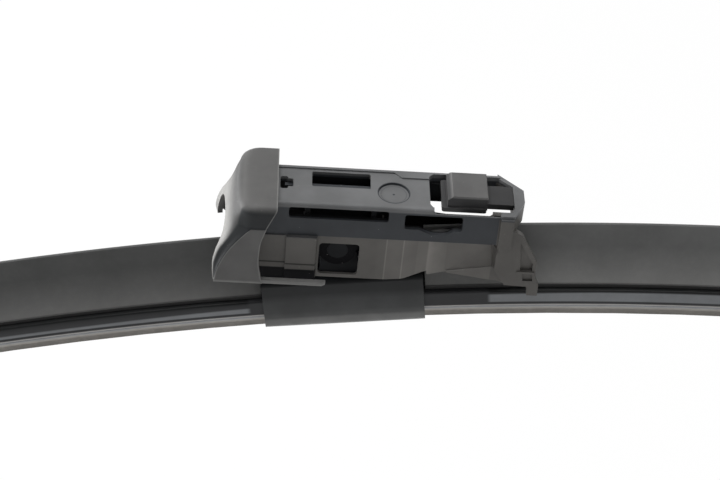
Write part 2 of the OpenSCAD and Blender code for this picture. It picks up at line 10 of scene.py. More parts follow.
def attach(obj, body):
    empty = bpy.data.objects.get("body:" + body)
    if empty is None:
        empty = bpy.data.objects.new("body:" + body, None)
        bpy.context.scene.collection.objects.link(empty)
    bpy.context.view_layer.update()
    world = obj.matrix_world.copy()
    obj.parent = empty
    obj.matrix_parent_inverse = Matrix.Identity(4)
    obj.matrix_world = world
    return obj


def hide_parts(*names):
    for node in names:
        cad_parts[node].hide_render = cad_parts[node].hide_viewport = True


bl_info = {
    "name": "Flat wiper blade",
    "version": (1, 0, 0),
    "blender": (4, 5, 0),
    "location": "3D View > Sidebar > Wiper blade",
    "description": "Dresses the solid model of a flat wiper blade and its push-button adapter",
    "category": "Object",
}

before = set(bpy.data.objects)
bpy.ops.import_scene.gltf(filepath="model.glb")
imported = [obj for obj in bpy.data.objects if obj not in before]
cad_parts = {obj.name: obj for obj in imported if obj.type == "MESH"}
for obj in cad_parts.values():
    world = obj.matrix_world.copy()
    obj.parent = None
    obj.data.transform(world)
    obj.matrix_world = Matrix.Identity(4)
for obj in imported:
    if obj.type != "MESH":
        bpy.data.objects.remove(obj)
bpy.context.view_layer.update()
MM = 0.001


# Settings


def size(name, text, value, low=0.0, high=1000.0):
    """A length, written here in millimetres and kept in metres."""
    return bpy.props.FloatProperty(
        name=name, description=text, default=value * MM, min=low * MM, max=high * MM,
        precision=5, unit="LENGTH", subtype="DISTANCE",
    )


def angle(name, text, degrees):
    return bpy.props.FloatProperty(
        name=name, description=text, default=math.radians(degrees), subtype="ANGLE"
    )


def power(name, text, watts):
    return bpy.props.FloatProperty(name=name, description=text, default=watts, unit="POWER")


def colour(name, what, value):
    return bpy.props.FloatVectorProperty(
        name=name, description="Colour of " + what, default=value, min=0.0, max=1.0, size=3,
        subtype="COLOR",
    )


def factor(name, text, value):
    return bpy.props.FloatProperty(
        name=name, description=text, default=value, min=0.0, max=1.0, subtype="FACTOR"
    )


class StudioSettings(bpy.types.PropertyGroup):
    """Camera, lamps and floor."""

    azimuth: angle("Azimuth", "Camera's turn about the vertical", 2.4)
    elevation: angle("Elevation", "Camera's height above the horizon", 41.0)
    roll: angle("Roll", "How far the picture is turned", 4.7)
    place: bpy.props.FloatVectorProperty(
        name="Place", description="Where the camera stands",
        default=(0.01999, -0.35378, 0.30557), size=3, unit="LENGTH", subtype="TRANSLATION",
    )
    focal: bpy.props.FloatProperty(
        name="Focal length", description="Focal length on a sensor 36 mm wide",
        default=100.0, unit="CAMERA",
    )
    floor_z: size("Floor", "Height of the floor", -138.0, -1000.0)
    key: power("Key light", "Power of the large soft light above", 3.1)
    rim: power("Rim light", "Power of the soft light at the left rear", 5.2)
    fill: power("Fill light", "Power of the soft light in front", 0.5)
    ambient: factor("Ambient", "Strength of the even light from all round", 0.16)


class PlasticSettings(bpy.types.PropertyGroup):
    """Plastics of the adapter, the end caps and the carrier."""

    # Painted light and shade on the one plastic: the top is painted lighter as lit from above, the upper
    # walls darker as shade
    walls: colour("Upper walls", "the adapter above the split line", (0.044, 0.048, 0.054))
    skirt: colour("Lower walls", "the adapter below the split line", (0.112, 0.107, 0.100))
    plate: colour("Top", "the adapter's top", (0.165, 0.168, 0.171))
    # Painted shade inside the adapter, darker towards its bottom
    inside: colour("Inside", "the shadowed faces inside the adapter", (0.026, 0.027, 0.029))
    deep: colour("Deep inside", "the adapter's inside at the split line", (0.006, 0.006, 0.007))
    pit: colour("Pit", "the adapter's inside at its bottom", (0.005, 0.005, 0.006))
    # Painted shade on the foot of the lower walls behind the window
    foot: colour("Foot", "the recessed foot behind the window", (0.008, 0.008, 0.009))
    hood: colour("Hood", "the end hood", (0.122, 0.121, 0.119))
    # Painted shade on the hood's upper sides and band
    band: colour("Hood band", "the painted_light band below the hood's top", (0.020, 0.022, 0.024))
    # Painted shade on the upper rear of the hood
    back: colour("Hood back", "the upper half of the hood's back", (0.056, 0.056, 0.056))
    # Painted highlight on the lower rear of the hood
    tail: colour("Hood tail", "the rubbed lower rear of the hood", (0.240, 0.237, 0.230))
    # Painted highlights along the hood's edges and crease
    lines: colour("Hood lines", "the hood's edges and crease", (0.215, 0.214, 0.208))
    # Painted light: the button's top is painted lighter and its sides darker as shade
    button: colour("Button", "the release button's top", (0.130, 0.129, 0.128))
    flank: colour("Button sides", "the release button's sides", (0.050, 0.050, 0.051))
    caps: colour("Caps", "the end caps", (0.045, 0.045, 0.046))
    # Painted reflections on the carrier's pale bands, painted shade on its dark ones
    carrier: colour("Carrier", "the carrier's painted_light bands", (0.215, 0.225, 0.236))
    groove: colour("Carrier groove", "the carrier's shadowed bands", (0.030, 0.031, 0.033))
    # Painted highlight along the rounded edges
    rub: colour("Highlight", "edges that are rubbed pale", (0.25, 0.25, 0.245))
    dust: colour("Dust", "the specks of dust", (0.34, 0.34, 0.32))
    grain: size("Grain", "Width of one grain of the spark texture", 0.35)
    edge: size("Edge rounding", "Radius of the moulded edges", 0.14)


class HoodSettings(bpy.types.PropertyGroup):
    """End hood that stops the arm."""

    tilt: angle("Tilt", "How far the adapter stands nose down", 8.0)
    top: size("Top", "Height of the hood's top above the pin", 16.16)
    wall: size("Wall", "Wall thickness", 1.2)
    edge: size("Edge rounding", "Radius of the shell's edges", 0.3)
    side_round: size("Side rounding", "Width of the round between the top and the sides", 1.7)
    back_round: size("Back rounding", "Width of the round between the top and the back", 2.6)
    arch_width: size("Arch width", "Width of the arch over the blade", 16.5)
    arch_height: size("Arch height", "Height of the arch above the pin", 4.5)
    rim_front: size("Rim end", "Where the bottom rim ends", -2.5, -1000.0)


class RubberSettings(bpy.types.PropertyGroup):
    """Spoilers and the pale bloom on them and on the lip."""

    # Painted light on one rubber: the right spoiler is a lit copy and the left a shaded one, each with a
    # lighter foot facing the light and a darker underside as shade
    left: colour("Left spoiler", "the left spoiler", (0.090, 0.091, 0.090))
    left_foot: colour("Left foot", "the left spoiler at its foot", (0.145, 0.145, 0.142))
    right: colour("Right spoiler", "the right spoiler", (0.142, 0.144, 0.142))
    right_foot: colour("Right foot", "the right spoiler at its foot", (0.215, 0.215, 0.210))
    under: colour("Underside", "the spoilers' underside", (0.03, 0.03, 0.03))
    bloom: factor("Bloom", "How much pale bloom lies on the rubber", 0.25)


class BladeSettings(bpy.types.PropertyGroup):
    """Section, bow and steel of the blade."""

    bow: size("Bow radius", "Radius of the unloaded bow", 720.0, 300.0, 2000.0)
    pin_height: size("Pin height", "Height of the pin above the carrier's ledge", 15.0)
    length: size("Length", "Length of the blade along its bow", 500.0)
    cap_wall: size("Cap wall", "Wall thickness of the end caps", 1.1)
    gap: size("Gap", "Gap between the spoilers and what they seat on", 0.12)
    ridge: size("Ridge height", "Height of the spoiler's ridge above the ledge", 14.4)
    crease: size("Crease height", "Height of the crease on the near face", 10.7)
    foot: size("Spoiler width", "Width of the spoiler's foot", 8.4)
    hollow: size("Hollow", "Depth of the hollow near face", 0.9)
    clamp_length: size("Clamp length", "Length of the steel clamp", 38.2)
    clamp_shift: size("Clamp shift", "How far the clamp's middle lies beyond the pin", 0.3)
    step: size("Step", "Length of one facet along the bow", 2.5, 0.5)
    rail: colour("Rails", "the spring rails", (0.36, 0.36, 0.37))


# Places on the adapter in millimetres from the pin: x along its top, y across it, z square to it

CROSS_X = 10.8  # wall between the rear and the front half
OPENING_X = 31.5  # front end of the button's opening
FOLDS_X = 36.3  # front end of the folded walls
SPLIT_Z = 6.0  # line between the lower and the upper walls
UNDER_Z = 12.8  # underside of the plate
WALL_TOP_Z = 13.3  # where the walls turn into the plate
MARK_AT = (12.0, -1.1)  # middle of the moulding mark on the plate
FOOT_AT = (-4.7, -3.55)  # front end and top of the painted shade on the foot behind the window
GROOVE_Z = -2.15  # painted dark line, as shade in the groove above that foot
CREASE_FOOT = (-28.25, -5.8)  # lower end of the crease on the hood's side, as x and z
CREASE_LEAN = 0.0589  # how far the crease goes forward for each metre of height
CREASE_BEND = 26.94  # how far it goes forward besides for the square of that height
BUTTON_TOP_Z = 16.3  # where the button's sides turn into its top

# Places along the folded lower wall and how bright it is painted there: painted highlights, palest on
# the folds
FOLD_HIGHLIGHTS = (
    (9.0, 1.05), (10.9, 1.1), (11.0, 1.75), (11.2, 1.75), (11.3, 1.28), (14.9, 1.22), (15.0, 1.9),
    (15.2, 1.9), (15.3, 1.35), (18.3, 1.3), (18.6, 1.5), (20.9, 1.6), (21.2, 2.35), (22.6, 1.85),
    (25.4, 1.5), (25.6, 1.38), (33.0, 1.34), (36.0, 1.3),
)
# Height, half width, rear end of the flat side, rear corner x, rear corner y, rear middle x,
# rounding at the end of the side, rounding of the rear corner
HOOD_ROWS = (
    (-5.8, 12.20, -28.3, -28.5, 11.0, -27.6, 0.10, 0.35),
    (-3.6, 12.20, -28.0, -28.8, 10.9, -27.4, 0.12, 0.50),
    (-1.0, 12.18, -27.4, -28.9, 10.8, -27.2, 0.12, 0.70),
    (1.5, 12.14, -26.4, -28.5, 10.6, -26.8, 0.14, 0.90),
    (3.6, 12.08, -25.3, -27.8, 10.4, -26.5, 0.17, 1.00),
    (5.0, 12.04, -24.5, -27.1, 10.2, -26.3, 0.20, 1.30),
    (6.5, 12.02, -23.5, -26.4, 10.0, -26.1, 0.25, 1.60),
    (8.5, 12.00, -21.9, -25.5, 9.8, -25.7, 0.30, 1.85),
    (10.1, 11.98, -20.6, -24.9, 9.7, -25.4, 0.35, 2.10),
    (10.4, 11.80, -20.5, -24.8, 9.7, -25.3, 0.60, 2.15),
    (12.0, 11.80, -20.6, -24.3, 9.7, -24.8, 1.50, 2.40),
    (14.2, 11.75, -21.0, -23.4, 9.6, -23.9, 1.60, 2.50),
)
# Height and x of the front edge of the hood's sides
HOOD_FRONT = (
    (-5.8, -17.1), (-3.1, -17.7), (-0.3, -18.1), (1.8, -18.2), (5.7, -18.0), (9.3, -17.1),
    (11.0, -16.5), (13.2, -15.6), (14.8, -14.9), (15.6, -14.55), (20.0, -14.5),
)

# Heights above the carrier's ledge in millimetres, upwards, and the colour at each

# Painted light and shade on the clamp: dark at its top as shade under the adapter, pale at its bottom as
# light from the floor
CLAMP_LIGHT_AND_SHADE = (
    (-8.5, (0.300, 0.302, 0.298)), (-7.0, (0.205, 0.207, 0.204)), (-5.6, (0.165, 0.167, 0.165)),
    (-4.9, (0.085, 0.087, 0.087)), (-3.4, (0.058, 0.060, 0.061)), (0.0, (0.043, 0.045, 0.046)),
    (2.2, (0.014, 0.015, 0.016)), (5.9, (0.008, 0.009, 0.010)),
)
PIVOT_COAT = ((0.0, (0.014, 0.015, 0.016)), (22.0, (0.017, 0.018, 0.020)))
# Painted highlight along the carrier's lower hem
CARRIER_HEM = ((-4.75, (0.44, 0.43, 0.42)), (-4.25, (0.40, 0.39, 0.38)))
# Painted shade on the carrier's upper band, darkest just below the spoilers' feet
CARRIER_TOP = (
    (-2.6, (0.045, 0.046, 0.049)), (-1.3, (0.026, 0.027, 0.029)), (-0.6, (0.014, 0.015, 0.016)),
    (-0.1, (0.012, 0.013, 0.013)), (0.5, (0.030, 0.030, 0.032)),
)
CARRIER_TOP_EDGE = -1.6  # lower edge of that upper band, at the pin
CARRIER_TOP_CLIMB = 0.0164  # how fast this edge climbs along the blade, up to 1 mm
CARRIER_NO_REFLECTION = (-22.3, 34.8)  # between these places along the blade the carrier gets no painted reflection
# Partly the lip's own tone and partly a painted highlight along its shoulder, palest 8.6 mm below the
# ledge
LIP_BANDS = (
    (-11.8, (0.205, 0.195, 0.180)), (-9.6, (0.275, 0.262, 0.240)), (-8.6, (0.300, 0.288, 0.268)),
    (-8.1, (0.230, 0.236, 0.245)), (-4.6, (0.230, 0.236, 0.245)),
)


# Node trees


class Nodes:
    """Short calls to build a node tree from left to right."""

    def __init__(self, tree):
        self.tree = tree

    def add(self, kind, **values):
        return self.fill(self.tree.nodes.new(kind), **values)

    def fill(self, node, **values):
        """Sets or links the inputs, named with _ for a space, and sets the node's own values."""
        for key, value in values.items():
            name = key.replace("_", " ")
            if name in node.inputs:
                self.put(node.inputs[name], value)
            else:
                setattr(node, key, value)
        return node

    def put(self, socket, value):
        """Links the socket to value where that is an output, and sets it otherwise."""
        if isinstance(value, bpy.types.NodeSocket):
            self.tree.links.new(value, socket)
        elif hasattr(value, "__len__") and len(value) == 3 and socket.type == "RGBA":
            socket.default_value = (*value, 1.0)
        else:
            socket.default_value = value

    def math(self, kind, first, *others):
        """One math node, or a chain of them where there are more than two values."""
        for other in others or (None,):
            node = self.tree.nodes.new("ShaderNodeMath")
            node.operation = kind
            self.put(node.inputs[0], first)
            if other is not None:
                self.put(node.inputs[1], other)
            first = node.outputs[0]
        return first


def emptied(owner):
    """The node calls for the emptied tree of a material or a world."""
    owner.use_nodes = True
    owner.node_tree.nodes.clear()
    return Nodes(owner.node_tree)


def shader(name):
    mat = bpy.data.materials.new(name)
    n = emptied(mat)
    out = n.add("ShaderNodeOutputMaterial")
    bsdf = n.add("ShaderNodeBsdfPrincipled")
    n.put(out.inputs[0], bsdf.outputs[0])
    return mat, n, bsdf


def object_point(n):
    return n.add("ShaderNodeTexCoord").outputs["Object"]


def parts(n, point):
    """The x, y and z of a point."""
    split = n.add("ShaderNodeSeparateXYZ", Vector=point)
    return [split.outputs[axis] for axis in "XYZ"]


def stretched(n, at, share):
    """The point with its x shrunk, so that a pattern on it is drawn out along the blade."""
    return n.add("ShaderNodeMapping", Vector=at, Scale=(share, 1.0, 1.0)).outputs[0]


def noise(n, at, scale, detail, rough=0.5):
    node = n.add("ShaderNodeTexNoise", Vector=at, Scale=scale, Detail=detail, Roughness=rough)
    return node.outputs["Fac"]


def spread(n, value, low, high, start=0.0, end=1.0):
    """Runs from low to high while the value runs from start to end."""
    node = n.add("ShaderNodeMapRange", Value=value, From_Min=start, From_Max=end, To_Min=low,
                 To_Max=high)
    return node.outputs["Result"]


def ramped(n, value, low, high):
    """0 at low and 1 at high, both in millimetres, and low may be the larger one."""
    share = n.add("ShaderNodeMapRange", Value=value, From_Min=low * MM, From_Max=high * MM,
                  interpolation_type="SMOOTHSTEP")
    return share.outputs["Result"]


def within(n, value, low, high, soft):
    """1 between low and high, fading over the width soft inside both, all in millimetres."""
    return n.math("MULTIPLY", ramped(n, value, low, low + soft), ramped(n, value, high, high - soft))


def ledge_height(n, at, blade):
    """Height above the carrier's ledge, measured square to the bow."""
    middle = n.add("ShaderNodeMapping", Vector=at, Location=(0.0, 0.0, blade.bow + blade.pin_height),
                   Scale=(1.0, 0.0, 1.0))
    reach = n.add("ShaderNodeVectorMath", operation="LENGTH", Vector=middle.outputs[0])
    return n.math("SUBTRACT", reach.outputs["Value"], blade.bow)


def graded(n, level, stops):
    """A colour for each height, where stops lists (height in millimetres, colour) upwards."""
    low, high = stops[0][0], stops[-1][0]
    ramp = n.add("ShaderNodeValToRGB", Fac=spread(n, level, 0.0, 1.0, low * MM, high * MM))
    points = ramp.color_ramp.elements
    for i, (height, tone) in enumerate(stops):
        place = (height - low) / (high - low)
        if i == 0:
            spot = points[0]
        elif i == len(stops) - 1:
            spot = points[len(points) - 1]
        else:
            spot = points.new(place)
        spot.position = place
        spot.color = (*tone, 1.0)
    return ramp.outputs["Color"]


def drifted(n, tone, at, scale, low, high):
    """The tone times a slow noise between low and high."""
    share = spread(n, noise(n, at, scale, 3.0, 0.55), low, high, 0.32, 0.70)
    scaled = n.add("ShaderNodeVectorMath", operation="SCALE", Vector=tone, Scale=share)
    return scaled.outputs["Vector"]


def blended(n, share, one, two):
    """The colour one at a share of 0, two at a share of 1."""
    mix = n.add("ShaderNodeMix", data_type="RGBA", Factor=share)
    slots = [socket for socket in mix.inputs if socket.type == "RGBA"]
    n.put(slots[0], one)
    n.put(slots[1], two)
    return [socket for socket in mix.outputs if socket.type == "RGBA"][0]


def dented(n, height, strength, depth):
    bump = n.add("ShaderNodeBump", Strength=strength, Distance=depth, Height=height)
    return bump.outputs["Normal"]


def seen_by(n, *rays):
    """1 for rays of the named kinds and 0 for all others."""
    path = n.add("ShaderNodeLightPath")
    return n.math("MAXIMUM", *(path.outputs["Is " + ray + " Ray"] for ray in rays))


def mixed(n, share, one, two):
    mix = n.add("ShaderNodeMixShader", Fac=share)
    n.put(mix.inputs[1], one.outputs[0])
    n.put(mix.inputs[2], two.outputs[0])
    return mix.outputs[0]


# Shares of the adapter's surface

# Each of these functions gets a place on the adapter, level with its top, and gives 1 where its
# tone or its dullness lies and 0 elsewhere.


def inside_body(n, x, y, z):
    """The faces inside the body, on both sides of its cross wall, and those in the slots, where shade is
    painted.
    """
    flank = n.math("ABSOLUTE", y)
    under = ramped(n, z, UNDER_Z, UNDER_Z - 0.3)
    rear = n.math("MULTIPLY", ramped(n, x, CROSS_X, CROSS_X - 0.4), ramped(n, flank, 7.0, 6.8),
                  ramped(n, z, UNDER_Z + 0.2, UNDER_Z - 0.1))
    front = n.math("MULTIPLY", within(n, x, CROSS_X, OPENING_X, 0.4), within(n, y, -3.4, 6.9, 0.3),
                   under)
    slots = n.math("MULTIPLY", within(n, x, CROSS_X - 0.8, OPENING_X, 0.4), ramped(n, flank, 6.85, 6.65),
                   ramped(n, z, SPLIT_Z, SPLIT_Z + 0.2), under)
    return n.math("MAXIMUM", rear, front, slots)


def shaded_foot(n, x, y, z):
    """Painted shade on the foot of the lower walls behind the window, and a painted dark line in the
    groove above it.
    """
    end, top = FOOT_AT
    away = n.math("ABSOLUTE", n.math("SUBTRACT", z, GROOVE_Z * MM))
    groove = n.math("MULTIPLY", ramped(n, away, 0.32, 0.12), 0.7)
    dark = n.math("MAXIMUM", ramped(n, z, top, top - 0.4), groove)
    return n.math("MULTIPLY", dark, ramped(n, x, end, end - 0.4))


def gate_mark(n, x, y, z):
    """The moulding mark of the plate: its rim, a faint inner ring and a point in the middle."""
    spot = n.add("ShaderNodeCombineXYZ", X=n.math("SUBTRACT", x, MARK_AT[0] * MM),
                 Y=n.math("SUBTRACT", y, MARK_AT[1] * MM))
    away = n.add("ShaderNodeVectorMath", operation="LENGTH", Vector=spot.outputs[0]).outputs["Value"]
    rim = n.math("MULTIPLY", ramped(n, away, 3.42, 3.58), ramped(n, away, 3.86, 3.70))
    inner = n.math("MULTIPLY", ramped(n, away, 2.75, 2.90), ramped(n, away, 3.12, 2.98), 0.35)
    mark = n.math("MAXIMUM", rim, ramped(n, away, 0.34, 0.22), inner)
    return n.math("MULTIPLY", mark, ramped(n, z, WALL_TOP_Z - 0.3, WALL_TOP_Z))


def guide_end(n, x, y, z):
    """The guides beyond the button, below the plate."""
    ahead = ramped(n, x, FOLDS_X - 0.3, FOLDS_X)
    return n.math("MULTIPLY", ahead, ramped(n, z, WALL_TOP_Z, WALL_TOP_Z - 0.4))


def folded_wall(n, x, y, z):
    """The folded front half of the lower walls, where highlights are painted on the folds."""
    return n.math("MULTIPLY", ramped(n, x, 8.6, 9.4), ramped(n, x, FOLDS_X, FOLDS_X - 0.2),
                  ramped(n, z, SPLIT_Z + 0.05, SPLIT_Z - 0.15))


def hood_back(n, x, y, z):
    """The rear face of the hood, without its top and sides, where shade is painted."""
    flank = n.math("ABSOLUTE", y)
    return n.math("MULTIPLY", ramped(n, x, -22.0, -23.6), ramped(n, flank, 11.5, 10.4))


def hood_tail(n, x, y, z):
    """The lowest rear of the hood, where a highlight is painted."""
    flank = n.math("ABSOLUTE", y)
    return n.math("MULTIPLY", ramped(n, x, -24.0, -26.6), ramped(n, flank, 11.7, 11.0))


def beyond_crease(n, x, z):
    """How far a point lies ahead of the crease that bounds the side panel of the hood."""
    foot_x, foot_z = CREASE_FOOT
    up = n.math("SUBTRACT", z, foot_z * MM)
    bend = n.math("MULTIPLY", up, up, CREASE_BEND)
    crease = n.math("ADD", n.math("MULTIPLY", up, CREASE_LEAN), bend)
    return n.math("SUBTRACT", n.math("SUBTRACT", x, foot_x * MM), crease)


def hood_lines(n, x, y, z):
    """The front and bottom edges of the hood and the crease of its side panel, where highlights are
    painted.
    """
    # The ramp holds the front edge's place as a grey, from 0 at x -20 to 1 at x -10
    rows = tuple((height, ((place + 20.0) / 10.0,) * 3) for height, place in HOOD_FRONT)
    front = n.math("MULTIPLY", n.math("SUBTRACT", graded(n, z, rows), 2.0), 10.0 * MM)
    edge = n.math("MULTIPLY", ramped(n, n.math("SUBTRACT", x, front), -0.34, -0.20), 0.75)
    under = ramped(n, z, -5.0, -5.5)
    away = n.math("ABSOLUTE", n.math("SUBTRACT", beyond_crease(n, x, z), 0.1 * MM))
    flank = n.math("ABSOLUTE", y)
    crease = n.math("MULTIPLY", ramped(n, away, 0.16, 0.08), ramped(n, z, 10.0, 9.2),
                    ramped(n, flank, 11.6, 11.8), 0.7)
    return n.math("MAXIMUM", edge, under, crease)


def hood_band(n, x, y, z):
    """The upper sides of the hood and the hollow band down to its rear tips, where shade is painted."""
    flank = n.math("ABSOLUTE", y)
    panel = n.math("MULTIPLY", ramped(n, beyond_crease(n, x, z), -0.1, 0.1), ramped(n, z, 10.4, 10.1))
    beside = ramped(n, n.math("ADD", flank, n.math("MULTIPLY", z, 0.07)), 10.8, 11.3)
    return n.math("MULTIPLY", beside, ramped(n, z, 16.0, 14.4), n.math("SUBTRACT", 1.0, panel))


# Materials


def specks(n, at):
    """The share of dust: a few round specks, and none on most of the surface."""
    cells = n.add("ShaderNodeTexVoronoi", Vector=at, Scale=900.0)
    pick = n.add("ShaderNodeSeparateColor", Color=cells.outputs["Color"])
    chosen = n.math("GREATER_THAN", pick.outputs[0], 0.60)
    reach = n.math("MULTIPLY", pick.outputs[1], 0.10)
    near = n.math("LESS_THAN", cells.outputs["Distance"], reach)
    return n.math("MULTIPLY", chosen, near, 0.55)


def moulded(name, tone, plastic, rough=0.46, stops=None, tilt=0.0, patches=(), matt=()):
    """Moulded plastic: a fine spark texture with slow drifts of tone and gloss.

    patches lists tones, each with the share where it lies, most of them painted light and shade.
    Such a tone may also be (axis, stops), for colours along that axis. matt lists the shares of
    the places with painted shade, where the gloss is cut as well.
    """
    mat, n, bsdf = shader(name)
    at = object_point(n)
    level = n.add("ShaderNodeMapping", Vector=at, Rotation=(0.0, -tilt, 0.0))
    place = dict(zip("xyz", parts(n, level.outputs[0])))
    base = graded(n, place["z"], stops) if stops else tone
    for other, share in patches:
        if len(other) == 2:
            axis, table = other
            other = graded(n, place[axis], table)
        base = blended(n, share(n, **place), base, other)
    gloss = 0.25
    for share in matt:
        shineless = n.math("MULTIPLY", share(n, **place), 0.85)
        gloss = n.math("MULTIPLY", n.math("SUBTRACT", 1.0, shineless), gloss)
    base = drifted(n, base, at, 90.0, 0.86, 1.16)
    # Painted highlight along the rounded edges: their narrow faces are marked and painted paler
    highlit = n.add("ShaderNodeAttribute", attribute_name="rub").outputs["Fac"]
    base = blended(n, n.math("MULTIPLY", highlit, 0.45), base, plastic.rub)
    base = blended(n, specks(n, at), base, plastic.dust)
    fine = noise(n, at, 1.0 / plastic.grain, 2.0, 0.6)
    spots = noise(n, at, 0.22 / plastic.grain, 4.0, 0.65)
    knobs = n.math("ADD", fine, n.math("MULTIPLY", spots, 0.6))
    n.fill(bsdf, Base_Color=base, Specular_IOR_Level=gloss,
           Roughness=spread(n, spots, rough - 0.06, rough + 0.10),
           Normal=dented(n, knobs, 0.12, plastic.grain * 0.5))
    return mat


def extruded(name, blade, tone, bloom, low=0.5, high=0.7):
    """Extruded rubber or plastic: bands along the bow, partly painted light and shade, fine lines and a
    pale bloom.

    tone is a table of colours by height above the ledge, or a function that makes the colour.
    """
    mat, n, bsdf = shader(name)
    at = object_point(n)
    level = ledge_height(n, at, blade)
    base = tone(n, at, level) if callable(tone) else graded(n, level, tone)
    base = drifted(n, base, at, 60.0, 0.90, 1.10)
    lines = noise(n, stretched(n, at, 0.06), 1800.0, 3.0, 0.6)
    veil = spread(n, noise(n, at, 650.0, 5.0, 0.7), 0.0, bloom, 0.45, 0.80)
    pale = n.add("ShaderNodeVectorMath", operation="MULTIPLY_ADD")
    for socket, value in zip(pale.inputs, (base, veil, base)):
        n.put(socket, value)
    n.fill(bsdf, Base_Color=pale.outputs["Vector"], Specular_IOR_Level=0.2,
           Roughness=spread(n, lines, low, high), Normal=dented(n, lines, 0.14, 0.12 * MM))
    return mat


def carrier_tone(n, at, level, plastic):
    """Bands of the carrier, with an upper one that narrows along the blade: painted reflections on the
    pale bands, painted shade on the dark ones, and no painted reflection near the clamp.
    """
    stops = CARRIER_HEM + ((-4.0, plastic.groove), (-3.5, plastic.groove),
                           (-3.2, plastic.carrier), (0.5, plastic.carrier))
    x = parts(n, at)[0]
    climb = n.math("MINIMUM", n.math("MULTIPLY", x, CARRIER_TOP_CLIMB), 1.0 * MM)
    above = n.math("SUBTRACT", level, n.math("MAXIMUM", climb, -1.0 * MM))
    upper = ramped(n, above, CARRIER_TOP_EDGE - 0.25, CARRIER_TOP_EDGE + 0.35)
    base = blended(n, upper, graded(n, level, stops), graded(n, level, CARRIER_TOP))
    left, right = CARRIER_NO_REFLECTION
    shineless = n.math("MULTIPLY", within(n, x, left - 0.6, right + 0.6, 1.2), ramped(n, level, -4.2, -3.9))
    return blended(n, shineless, base, plastic.groove)


def steel(name, tone, rough):
    """Drawn steel: fine lines along its length and a slightly uneven polish."""
    mat, n, bsdf = shader(name)
    at = object_point(n)
    lines = noise(n, stretched(n, at, 0.08), 2600.0, 2.0)
    n.fill(bsdf, Base_Color=drifted(n, tone, at, 240.0, 0.8, 1.0), Metallic=1.0,
           Roughness=spread(n, lines, rough - 0.08, rough + 0.14),
           Normal=dented(n, lines, 0.08, 0.05 * MM))
    return mat


def coated(name, blade, stops, gloss):
    """Coated sheet: a low satin film with a fine orange peel, coloured by height, which paints shade and
    light on the clamp.
    """
    mat, n, bsdf = shader(name)
    at = object_point(n)
    base = graded(n, ledge_height(n, at, blade), stops)
    peel = noise(n, at, 900.0, 3.0)
    n.fill(bsdf, Base_Color=drifted(n, base, at, 120.0, 0.85, 1.2), Specular_IOR_Level=gloss,
           Roughness=spread(n, peel, 0.34, 0.48), Normal=dented(n, peel, 0.10, 0.1 * MM))
    return mat


# Mesh helpers


def link(name, mesh):
    obj = bpy.data.objects.new(name, mesh)
    bpy.context.scene.collection.objects.link(obj)
    return obj


def shaped(work, name):
    """A new object with the shape of a BMesh, which is freed."""
    mesh = bpy.data.meshes.new(name)
    work.to_mesh(mesh)
    work.free()
    return link(name, mesh)


def baked(obj):
    """The evaluated shape of obj as its own plain mesh, with no modifier left."""
    bpy.context.view_layer.update()
    seen = obj.evaluated_get(bpy.context.evaluated_depsgraph_get())
    mesh = bpy.data.meshes.new_from_object(seen)
    obj.modifiers.clear()
    old = obj.data
    obj.data = mesh
    bpy.data.meshes.remove(old)


def smooth(obj, degrees):
    """Smooth shading, apart from the edges that turn by more than the angle."""
    for face in obj.data.polygons:
        face.use_smooth = True
    obj.data.set_sharp_from_angle(angle=math.radians(degrees))


def rounded(obj, width, degrees, corner="MITER_SHARP"):
    """Rounds the edges that turn by more than the angle."""
    bevel = obj.modifiers.new("edges", "BEVEL")
    bevel.width = width
    bevel.segments = 2
    bevel.limit_method = "ANGLE"
    bevel.angle_limit = math.radians(degrees)
    bevel.miter_outer = corner
    baked(obj)


def flat_first(obj):
    """Leans the shading on the large faces, so that only the rounded edges turn."""
    lean = obj.modifiers.new("lean", "WEIGHTED_NORMAL")
    lean.weight = 100
    lean.keep_sharp = True
    baked(obj)


def mark_edges(obj, width):
    """Marks the narrow faces of the rounded edges, for the painted highlight along them."""
    marks = obj.data.attributes.new("rub", "FLOAT", "FACE")
    for face in obj.data.polygons:
        corners = [obj.data.vertices[i].co for i in face.vertices]
        around = sum((a - b).length for a, b in zip(corners, corners[1:] + corners[:1]))
        marks.data[face.index].value = 1.0 if 2.0 * face.area < width * around else 0.0


def creased(obj, degrees):
    """Keeps the folds between faces of more than 1.5 square millimetres sharp, also flat ones."""
    work = bmesh.new()
    work.from_mesh(obj.data)
    for edge in work.edges:
        faces = edge.link_faces
        if len(faces) == 2 and min(face.calc_area() for face in faces) > 1.5 * MM * MM:
            if edge.calc_face_angle(0.0) > math.radians(degrees):
                edge.smooth = False
    work.to_mesh(obj.data)
    work.free()


def softened(node, name, width, crease=None):
    """A welded copy of a solid with its edges rounded as a mould leaves them."""
    work = bmesh.new()
    work.from_mesh(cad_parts[node].data)
    bmesh.ops.remove_doubles(work, verts=work.verts, dist=0.002 * MM)
    bmesh.ops.dissolve_limit(work, angle_limit=math.radians(1.0), verts=work.verts, edges=work.edges)
    obj = shaped(work, name)
    rounded(obj, width, 28.0, "MITER_ARC")
    smooth(obj, 35.0)
    if crease:
        creased(obj, crease)
    flat_first(obj)
    mark_edges(obj, width)
    return obj


def finish_piece(obj, body, mat, node):
    """Gives a piece its material and its body, in the place of a node of the solid model."""
    obj.data.materials.clear()
    obj.data.materials.append(mat)
    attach(obj, body)
    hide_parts(node)


def paint(mat, *nodes):
    """Gives nodes of the solid model their material."""
    for node in nodes:
        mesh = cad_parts[node].data
        mesh.materials.clear()
        mesh.materials.append(mat)


# Bowed extrusions


